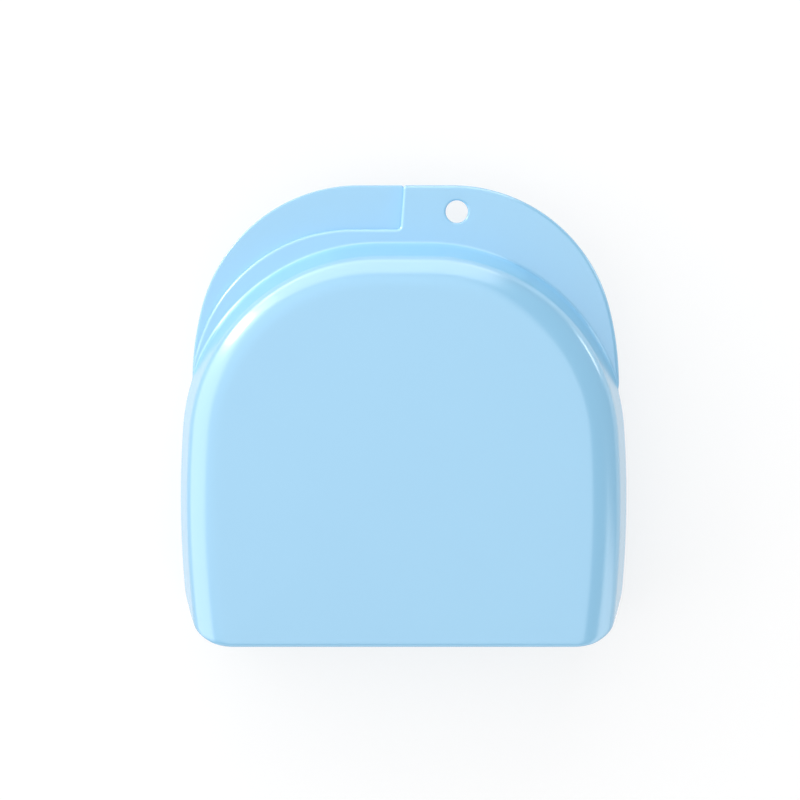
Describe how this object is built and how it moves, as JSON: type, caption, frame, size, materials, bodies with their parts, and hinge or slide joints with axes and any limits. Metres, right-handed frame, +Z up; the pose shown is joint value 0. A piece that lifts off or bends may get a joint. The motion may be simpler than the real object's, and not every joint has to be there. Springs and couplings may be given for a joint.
{
  "type": "denture case",
  "caption": "Hinged plastic clamshell case for dentures or a retainer, D-shaped with rounded faces, offset finger tabs and a hanging hole.",
  "frame": {"origin": "bottom centre of the closed case's bounding box, on the surface that the case lies on", "axes": "+X to the right when the lid faces the viewer and the finger tabs point up, +Y from the hinge wall to the finger tabs, +Z up through the lid"},
  "size_m": [0.0802, 0.0833, 0.03],
  "materials": {
    "case_plastic": "glossy light blue moulded polypropylene",
    "pin_steel": "drawn steel wire"
  },
  "bodies": {
    "base": {"base_shell": "case_plastic", "hinge_pin_left": "pin_steel", "hinge_pin_right": "pin_steel"},
    "lid": {"lid_shell": "case_plastic"}
  },
  "joints": [
    {"name": "lid_hinge", "type": "hinge", "parent": "base", "child": "lid", "pos_m": [0, -0.04005, 0.015], "axis": [1, 0, 0], "range_deg": [0, 180]}
  ]
}
